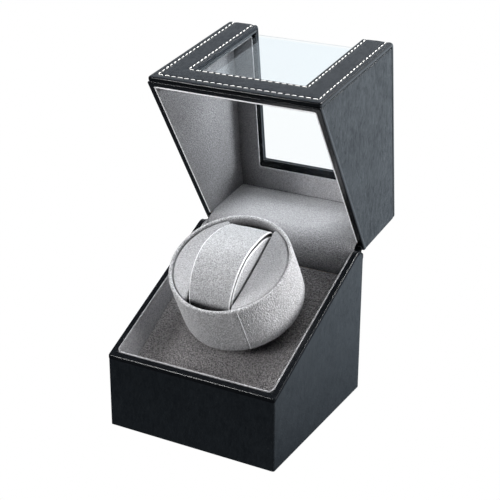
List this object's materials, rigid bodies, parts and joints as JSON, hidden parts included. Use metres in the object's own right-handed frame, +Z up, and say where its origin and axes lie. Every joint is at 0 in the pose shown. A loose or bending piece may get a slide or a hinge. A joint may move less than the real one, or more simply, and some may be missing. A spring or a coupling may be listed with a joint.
{
  "type": "watch winder box",
  "caption": "Leather-covered watch winder box with a wrap-around window in its hinged lid and a tilted, velvet-covered drum that turns a watch on a cushion.",
  "frame": {"origin": "centre of the flat pad under the base, on the surface the box rests on", "axes": "+X to the right seen from the front, +Y to the rear where the hinge is, +Z up; -Z is the outward normal of the resting face"},
  "size_m": [0.125, 0.1835, 0.2435],
  "materials": {
    "black_leather": "semi-gloss grained artificial leather with white stitching",
    "grey_velvet": "short-pile velvet",
    "light_velvet": "suede-like short-pile velvet",
    "foam": "open-cell foam",
    "black_felt": "pressed felt",
    "fibreboard": "raw fibreboard",
    "clear_acrylic": "polished clear acrylic",
    "bronze": "sintered bronze",
    "black_rubber": "matte rubber",
    "circuit_board": "green solder mask",
    "black_plastic": "fine-textured moulded plastic",
    "motor_steel": "plated drawn steel",
    "steel": "nickel-plated steel"
  },
  "bodies": {
    "base": {"base_side_board_left": "fibreboard", "base_side_board_right": "fibreboard", "base_front_board": "fibreboard", "base_rear_board": "fibreboard", "base_floor_board": "fibreboard", "base_corner_blocks": "fibreboard", "floor_screws": "steel", "base_felt_pad": "black_felt", "base_leather_wrap": "black_leather", "base_lining_left": "grey_velvet", "base_lining_right": "grey_velvet", "base_lining_front": "grey_velvet", "base_lining_rear": "grey_velvet", "deck_panel": "grey_velvet", "deck_rails": "fibreboard", "spindle_housing": "black_plastic", "spindle_bushes": "bronze", "motor_bracket": "steel", "motor_bracket_screws": "steel", "motor_case": "motor_steel", "drive_belt": "black_rubber", "control_plate": "black_plastic", "dc_jack": "black_plastic", "control_pcb": "circuit_board", "motor_leads": "black_rubber", "catch_strike_plates": "steel", "hinge_base_leaves": "steel", "hinge_base_screws": "steel", "hinge_pins": "steel", "velvet_hinge_flap": "grey_velvet"},
    "lid": {"lid_side_board_left": "fibreboard", "lid_side_board_right": "fibreboard", "lid_rear_board": "fibreboard", "lid_front_board": "fibreboard", "lid_top_board": "fibreboard", "lid_leather_wrap": "black_leather", "lid_pad_frame": "black_leather", "window_pane": "clear_acrylic", "lid_lining_left": "grey_velvet", "lid_lining_right": "grey_velvet", "lid_lining_rear": "grey_velvet", "lid_lining_front": "grey_velvet", "lid_lining_top": "grey_velvet", "catch_magnets": "steel", "hinge_lid_leaves": "steel", "hinge_lid_screws": "steel"},
    "drum": {"drum_cup": "black_plastic", "drum_velvet_wrap": "light_velvet", "drum_face_pad_left": "light_velvet", "drum_face_pad_right": "light_velvet", "drum_hub": "black_plastic", "spindle": "steel", "spindle_clip": "steel", "drive_pulley": "black_plastic"},
    "pillow": {"pillow_core": "foam", "pillow_cover": "light_velvet"},
    "motor_rotor": {"motor_shaft": "steel", "motor_pulley": "black_plastic"},
    "power_slider": {"power_slider": "black_plastic"},
    "mode_slider": {"mode_slider": "black_plastic"}
  },
  "joints": [
    {"name": "lid_hinge", "type": "hinge", "parent": "base", "child": "lid", "pos_m": [0, 0.0614, 0.108], "axis": [1, 0, 0], "range_deg": [0, 82.4], "deforming": ["velvet_hinge_flap"]},
    {"name": "drum_spin", "type": "hinge", "parent": "base", "child": "drum", "pos_m": [0, 0.0124, 0.06957], "axis": [0, -0.4848, 0.8746], "continuous": true},
    {"name": "motor_spin", "type": "hinge", "parent": "base", "child": "motor_rotor", "pos_m": [0, -0.02084, 0.05115], "axis": [0, -0.4848, 0.8746], "continuous": true},
    {"name": "pillow_lift", "type": "slide", "parent": "drum", "child": "pillow", "axis": [0, 0.4848, -0.8746], "range_m": [-0.05, 0]},
    {"name": "power_slide", "type": "slide", "parent": "base", "child": "power_slider", "axis": [1, 0, 0], "range_m": [0, 0.004]},
    {"name": "mode_slide", "type": "slide", "parent": "base", "child": "mode_slider", "axis": [1, 0, 0], "range_m": [0, 0.006]}
  ],
  "couplings": [
    {"joint": "motor_spin", "follows": "drum_spin", "ratio": 4.75}
  ]
}
